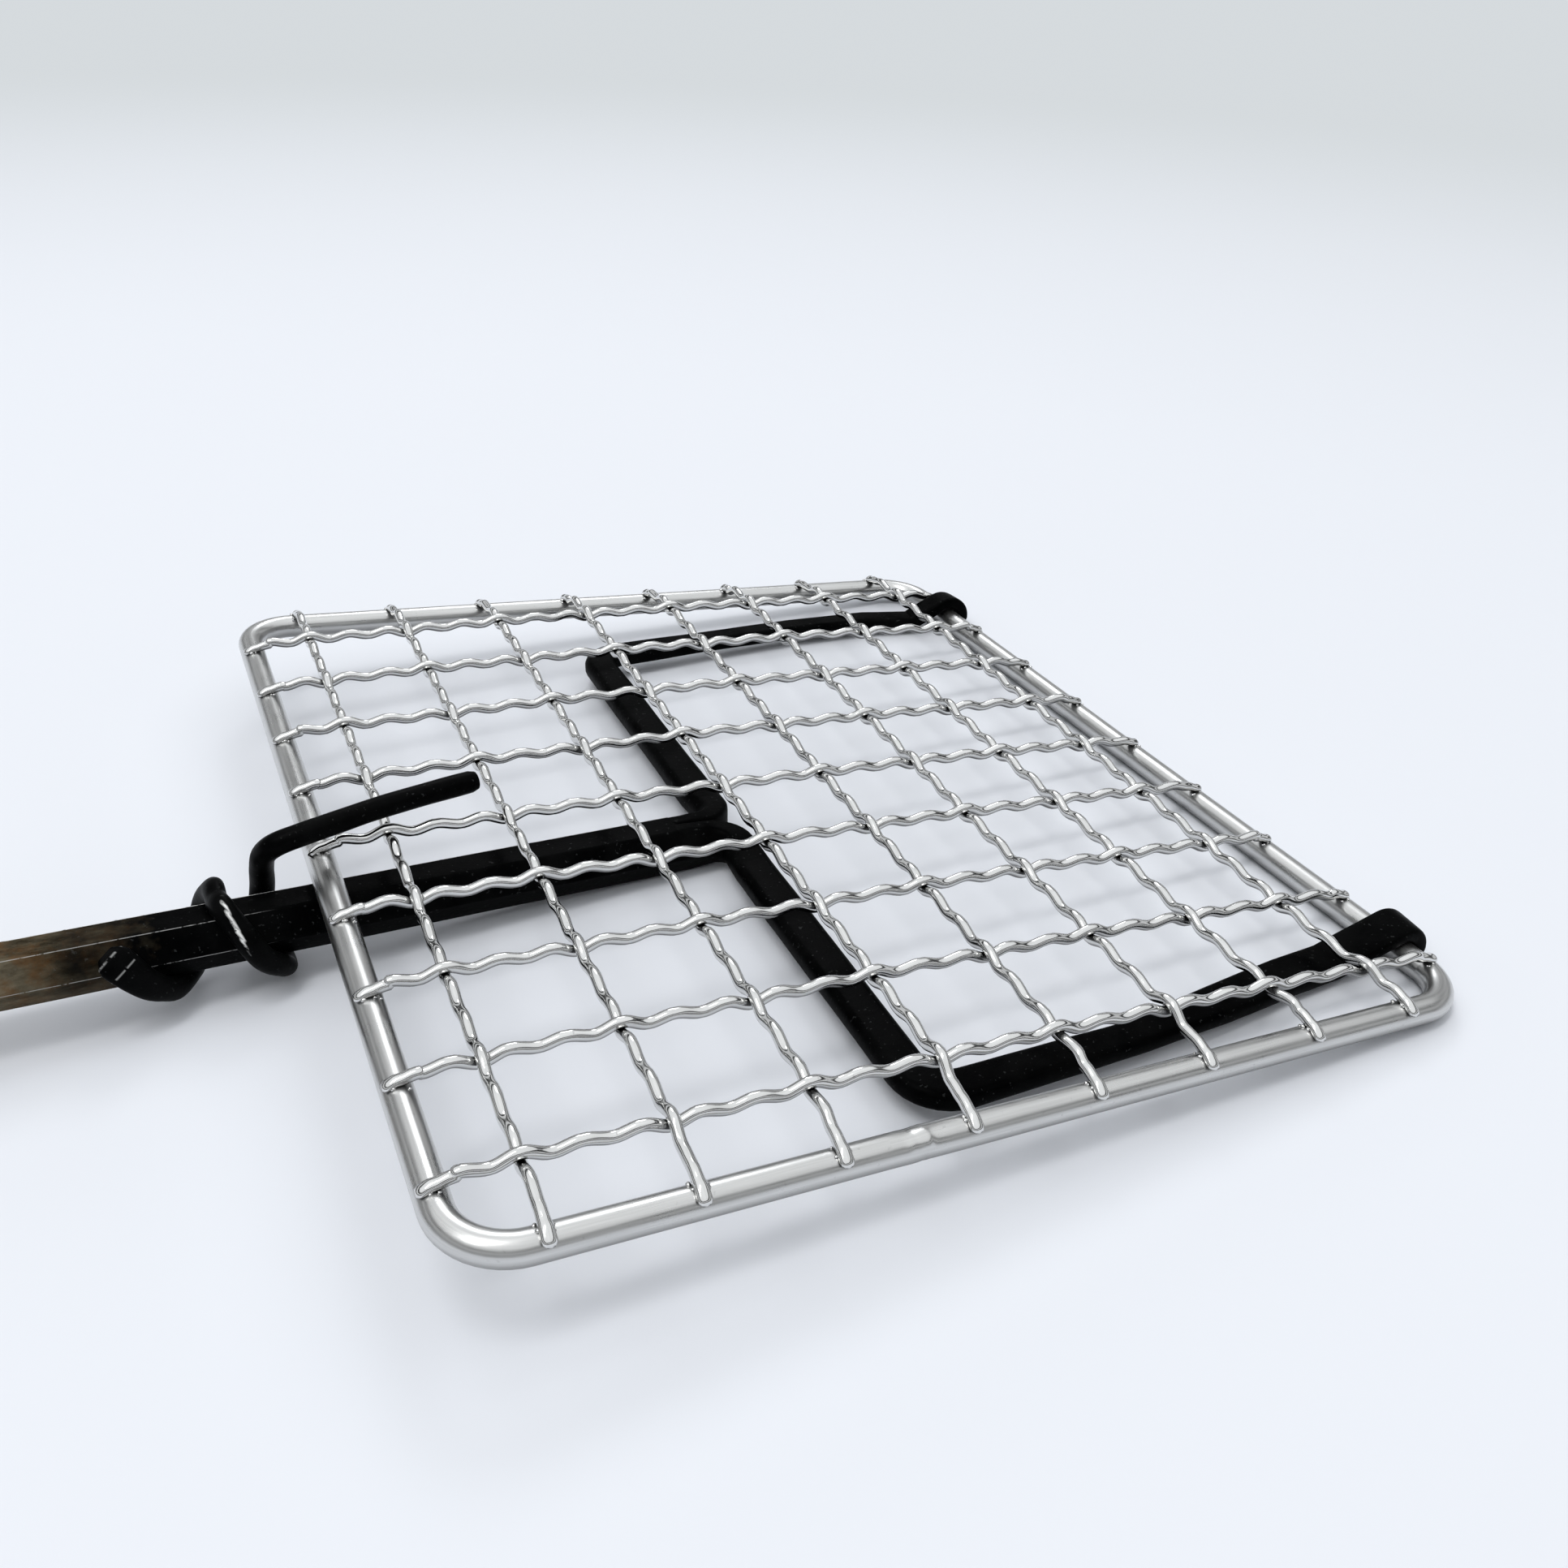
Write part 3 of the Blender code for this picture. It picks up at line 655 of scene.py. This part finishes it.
# ---- the grate ----------------------------------------------------------------------------
def far_x(y):
    """Where the middle of the frame's far rod is; left_y and right_y say it of its sides."""
    return float(np.interp(y, [FAR_RIGHT[1], FAR_LEFT[1]], [FAR_RIGHT[0], FAR_LEFT[0]]))


def left_y(x):
    return float(np.interp(x, [NEAR_LEFT[0], FAR_LEFT[0]], [NEAR_LEFT[1], FAR_LEFT[1]]))


def right_y(x):
    return float(np.interp(x, [NEAR_RIGHT[0], FAR_RIGHT[0]], [NEAR_RIGHT[1], FAR_RIGHT[1]]))


def grate_rod():
    """Round rod bent to a rounded rectangle. Its butt weld on the right side is ground nearly
    flush: a low blister high on the outer side, a faint seam, and ends that don't quite meet."""
    corners = [Vector((x, y, ROD_Z)) for x, y in (FAR_RIGHT, FAR_LEFT, NEAR_LEFT, NEAR_RIGHT)]
    weld = Vector((WELD_X, right_y(WELD_X), ROD_Z))
    route, _ = rounded_route([(weld, 0)] + [(c, CORNER_R) for c in corners] + [(weld, 0)], 12)
    points, outlines = [], []
    count = 32
    for x in np.arange(-4.8, 4.81, 0.3):
        step = 0.10 * math.tanh(x / 0.7) * math.exp(-(x / 2.6) ** 2)
        points.append(Vector((WELD_X + x, right_y(WELD_X + x), ROD_Z + step)))
        ring = []
        for s, u in circle(ROD_R, count):
            round_it = math.atan2(u, s)
            lump = 1 + 0.4 * noise.noise(Vector((s * 0.8, u * 0.8, x * 0.6)))
            blister = 0.22 * math.exp(-(x / 2.0) ** 4 - ((round_it - 0.85) / 0.45) ** 2)
            seam = 0.05 * math.exp(-((x - 1.4) / 0.35) ** 2)
            grow = 1 + (blister + seam) * lump / ROD_R
            ring.append((s * grow, u * grow))
        outlines.append(ring)
    rest, _ = refine(route, [(0.0,)] * len(route), 6.0)
    rest = [p for p in rest if (p - weld).length > 5.2]
    points += rest
    outlines += [circle(ROD_R, count)] * len(rest)
    bm = bmesh.new()
    skin(bm, points, outlines, Vector((0, 0, 1)), closed=True)
    piece("grate_rod", bm, SATIN, "grate", ("grate_frame",))


def crown(x):
    """How far the mesh stands up between the near and the far rod."""
    return CROWN * max(0.0, 1 - ((x - MIDDLE_X) / (FAR_X - MIDDLE_X)) ** 2)


def crimped(first, last, start, end, reach, sign, height):
    """(place, height, crest) along one wire: crests half a wave apart, welded ends sunk in."""
    step = PITCH / HALF_WAVES
    before = int((first - start - WIRE_LEVEL) / step)
    after = int((end - last - WIRE_LEVEL) / step)
    count = round((last - first) / step)
    tip = [END_Z - END_DROP * r for r in reach]
    route = [(start - reach[0], tip[0], 0), (start, END_Z, 0), (start + WIRE_LEVEL, LEVEL_Z, 0)]
    for k in range(-before, count + after + 1):
        place = first + k * step
        crest = SMALL_CRIMP if k % HALF_WAVES else CRIMP
        up = sign * (-1) ** k
        route.append((place, height(place) + up * crest, up))
    return route + [(end - WIRE_LEVEL, LEVEL_Z, 0), (end, END_Z, 0), (end + reach[1], tip[1], 0)]


def wire_path(route, steps=7):
    """Soft crimps through the route, and at each point the distance to the nearest crest."""
    path = []
    for (a, za, ua), (b, zb, ub) in zip(route, route[1:]):
        for k in range(steps):
            t = k / steps
            nearer, crest = (t, ua) if t < 0.5 else (1 - t, ub)
            path.append((a + (b - a) * t, za + (zb - za) * ease(t), nearer * (b - a), crest))
    last = route[-1]
    return path + [(last[0], last[1], 0.0, 0)]


def wire_outline(to_end, gap, crest, count=14):
    """Round, pinched a little where the crimping die marked a crest, flattened at a weld."""
    press = min(1.0, max(0.0, 1 - to_end / 4.2))
    dent = 0.10 * max(0.0, 1 - (gap / 0.7) ** 2) if crest else 0.0
    tip = max(0.0, 1 - to_end / 0.9)
    ring = []
    for s, u in circle(WIRE_R, count):
        if u * crest > 0.45:
            u *= 1 - dent
        size = 1 - 0.45 * tip ** 2
        ring.append((s * (1 + 0.22 * press) * size, u * (1 - 0.28 * press) * size))
    return ring


def add_wire(bm, path, at, seed):
    """at(place, offset, height) gives the point in the layout; offset is a slight weave."""
    points = [at(place, 0.07 * wobble(place, seed, 0.06), z) for place, z, _, _ in path]
    first, last = path[0][0], path[-1][0]
    outlines = [wire_outline(min(place - first, last - place), gap, crest)
                for place, _, gap, crest in path]
    skin(bm, points, outlines, Vector((0, 0, 1)))


def lean(i, y):
    """How far the right end of the cross wire leans over towards the hooks."""
    return LEANING_ENDS[i] * ease(ramp(y, LEAN_FROM, LEAN_FULL))


def wires():
    """The crimped mesh: wires along the handle's direction, then the ones across it."""
    for j, y in enumerate(LONG_Y):
        path = wire_path(crimped(CROSS_X[0], CROSS_X[-1], NEAR_X, far_x(y), (END_NEAR, END_FAR),
                                 (-1) ** j, crown))
        bm = bmesh.new()
        add_wire(bm, path, lambda x, off, z, y=y: Vector((x, y + off, z)), 41 + j)
        piece("crimped_long_%d" % (j + 1), bm, BRIGHT, "grate",
              ("wire_long_%d" % (j + 1),), 60)
    for i, x in enumerate(CROSS_X):
        right, left = right_y(x), left_y(x)

        def height(y, right=right, left=left, top=crown(x)):
            inside = min(y - right, left - y) - WIRE_LEVEL
            return top * min(1.0, max(0.0, inside / SETTLE))
        path = wire_path(crimped(LONG_Y[-1], LONG_Y[0], right, left, (END_RIGHT, END_LEFT),
                                 -(-1) ** i, height))
        bm = bmesh.new()
        add_wire(bm, path,
                 lambda y, off, z, i=i, x=x: Vector((x + off + lean(i, y), y, z)), 61 + i)
        piece("crimped_cross_%d" % (i + 1), bm, BRIGHT, "grate",
              ("wire_cross_%d" % (i + 1),), 60)


def weld_beads():
    """Small splashes of metal squeezed out beside each welded wire end."""
    spots = [(x + lean(i, y), y, (0, 1)) for i, x in enumerate(CROSS_X)
             for y in (right_y(x), left_y(x))]
    spots += [(x, y, (1, 0)) for y in LONG_Y for x in (NEAR_X, far_x(y))]
    bm = bmesh.new()
    rng = np.random.default_rng(12)
    for x, y, run in spots:
        outward = math.copysign(1, x * run[0] + y * run[1])
        for sideways in (-1, 1):
            for _ in range(3):
                along = outward * rng.uniform(-1.7, 1.2)
                off = sideways * rng.uniform(0.95, 1.25)
                across = (along * run[0] + off * run[1], along * run[1] + off * run[0])
                down = math.sqrt(max(0.0, ROD_R ** 2 - along ** 2))
                centre = Vector((x + across[0], y + across[1], ROD_Z + down + 0.08))
                size = rng.uniform(0.22, 0.46)
                blob = bmesh.ops.create_icosphere(bm, subdivisions=2, radius=size)["verts"]
                for vert in blob:
                    lump = 1 + 0.35 * noise.noise(vert.co * 2.2 + centre)
                    flat = Vector((vert.co.x, vert.co.y, vert.co.z * 0.8))
                    vert.co = LAYOUT @ (centre + flat * lump)
    piece("weld_beads", bm, BRIGHT, "grate", (), 60)


# ---- studio -------------------------------------------------------------------------------
CAMERA_PLACE = (-121.124, -234.604, 145.482)
CAMERA_RIGHT = (0.90462954, -0.4129401, 0.1054792)
CAMERA_DOWN = (-0.11670114, -0.47802812, -0.87055727)
CAMERA_FORWARD = (0.40991003, 0.77522229, -0.48062894)
FOCAL_PX = 1818.62
PHOTO_PX = 1932
SENSOR_MM = 36.0

PAPER = ((0.820, 0.840, 0.885, 1), (0.835, 0.855, 0.900, 1))
PALE = (0.670, 0.705, 0.730, 1.0)    # the backdrop's colour far behind the grill
PAPER_TO, PALE_FROM = 0.35, 1.6      # metres from the grill
# (sine of the height above the horizon, light level)
SKY = [(0.0, 0.55), (0.07, 0.55), (0.10, 0.03), (0.20, 0.03), (0.25, 0.66), (0.39, 0.66),
       (0.43, 0.03), (0.55, 0.03), (0.60, 0.88), (1.0, 1.0)]
SKY_STRENGTH = 1.12


def camera():
    """The photo's own view, solved from the crossings of the mesh."""
    data = bpy.data.cameras.new("photo_view")
    data.sensor_width = SENSOR_MM
    data.lens = FOCAL_PX / PHOTO_PX * SENSOR_MM
    data.dof.use_dof = False
    data.clip_start = 0.01
    data.clip_end = 20.0
    obj = show("photo_view", data)
    turn = LAYOUT.to_3x3() * 1000
    right, up, back = (turn @ Vector(v) for v in (CAMERA_RIGHT, CAMERA_DOWN, CAMERA_FORWARD))
    rotation = Matrix((right, -up, -back)).transposed().to_4x4()
    obj.matrix_world = Matrix.Translation(LAYOUT @ Vector(CAMERA_PLACE)) @ rotation
    bpy.context.scene.camera = obj


def area_light(name, place, aim, size, power, color=(1, 1, 1)):
    """A softbox; size is what it measures across and along the way it looks over the floor."""
    data = bpy.data.lights.new(name, "AREA")
    data.shape = "RECTANGLE"
    data.size, data.size_y = size
    data.energy = power
    data.color = color
    obj = show(name, data)
    obj.location = place
    obj.rotation_euler = (Vector(aim) - Vector(place)).to_track_quat("-Z", "Y").to_euler()


def seen(tree):
    """1 for rays from the camera and for reflections, 0 for the light that falls on things."""
    path = tree.nodes.new("ShaderNodeLightPath")
    either = tree.nodes.new("ShaderNodeMath")
    either.operation = "MAXIMUM"
    tree.links.new(path.outputs["Is Camera Ray"], either.inputs[0])
    tree.links.new(path.outputs["Is Glossy Ray"], either.inputs[1])
    return either.outputs[0]


def floor():
    """Pale paper under the grill that passes into an even backdrop further out."""
    bm = bmesh.new()
    bmesh.ops.create_grid(bm, x_segments=8, y_segments=8, size=30.0)
    mesh = bpy.data.meshes.new("studio_floor")
    bm.to_mesh(mesh)
    bm.free()
    p = Paint("pale_paper", Roughness=0.85, Specular_IOR_Level=0.2)
    p.drive("Base Color", p.mix(p.grain(p.place, 3.0, 2.0), *PAPER))
    p.drive("Normal", p.bump(p.grain(p.place, 40.0, 4.0), 0.0006, 0.15))
    reach = p.node("VectorMath", i0=p.place)
    reach.operation = "LENGTH"
    far = p.node("MapRange", Value=reach.outputs["Value"], From_Min=PAPER_TO, From_Max=PALE_FROM)
    far.interpolation_type = "SMOOTHSTEP"
    glow = p.node("Emission", Color=PALE)
    blend = p.node("MixShader", i0=p.math("MULTIPLY", far.outputs[0], seen(p.tree)),
                   i1=p.shader.outputs[0], i2=glow.outputs[0])
    p.tree.links.new(blend.outputs[0], p.tree.nodes["Material Output"].inputs["Surface"])
    mesh.materials.append(p.mat)
    obj = show("studio_floor", mesh)


def world():
    """Soft white overhead and two dark bands above the horizon, so that round steel shows dark
    lines between the whites of sky and floor; the camera itself sees the pale backdrop."""
    studio = bpy.data.worlds.new("soft_studio")
    bpy.context.scene.world = studio
    studio.use_nodes = True
    tree = studio.node_tree
    nodes, links = tree.nodes, tree.links
    light = nodes["Background"]
    coords = nodes.new("ShaderNodeTexCoord")
    split = nodes.new("ShaderNodeSeparateXYZ")
    links.new(coords.outputs["Generated"], split.inputs[0])
    sky = nodes.new("ShaderNodeValToRGB")
    while len(sky.color_ramp.elements) < len(SKY):
        sky.color_ramp.elements.new(0.5)
    for element, (place, level) in zip(sky.color_ramp.elements, SKY):
        element.position = place
        element.color = (level * 0.96, level * 0.98, level, 1)
    links.new(split.outputs[2], sky.inputs[0])
    links.new(sky.outputs[0], light.inputs["Color"])
    light.inputs["Strength"].default_value = SKY_STRENGTH
    path = nodes.new("ShaderNodeLightPath")
    shown = nodes.new("ShaderNodeBackground")
    shown.inputs["Color"].default_value = PALE
    blend = nodes.new("ShaderNodeMixShader")
    links.new(path.outputs["Is Camera Ray"], blend.inputs[0])
    links.new(light.outputs[0], blend.inputs[1])
    links.new(shown.outputs[0], blend.inputs[2])
    links.new(blend.outputs[0], nodes["World Output"].inputs["Surface"])


fork()
keeper()
grate_rod()
wires()
weld_beads()
camera()
floor()
world()
area_light("key", (-0.75, -0.35, 2.40), aim=(0.10, 0, 0), size=(0.42, 1.5), power=15.5)
area_light("fill", (0.9, 2.0, 1.9), aim=(0.05, 0, 0), size=(0.9, 0.9), power=9.0,
           color=(0.95, 0.97, 1.0))

bpy.context.scene.view_settings.view_transform = "Standard"
